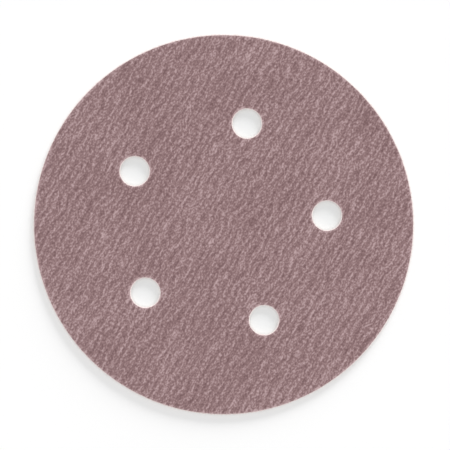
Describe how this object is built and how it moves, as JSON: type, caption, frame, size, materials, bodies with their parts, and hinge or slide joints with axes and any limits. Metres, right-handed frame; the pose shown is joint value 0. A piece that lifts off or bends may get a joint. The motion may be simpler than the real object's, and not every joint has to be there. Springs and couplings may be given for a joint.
{
  "type": "hook and loop sanding disc",
  "caption": "Round coated abrasive disc on a loop cloth backing, with a ring of round dust holes, for the hook pad of an orbital sander.",
  "frame": {"origin": "centre of the disc, on the crests of the loop cloth that it lies on", "axes": "+Z along the disc's axis, out of the abrasive face; +X through the first dust hole"},
  "size_m": [0.127, 0.127, 0.0015],
  "materials": {
    "abrasive": "matte",
    "loop_cloth": "matte"
  },
  "bodies": {
    "root": {"abrasive_sheet": "abrasive", "loop_backing": "loop_cloth"}
  },
  "joints": []
}
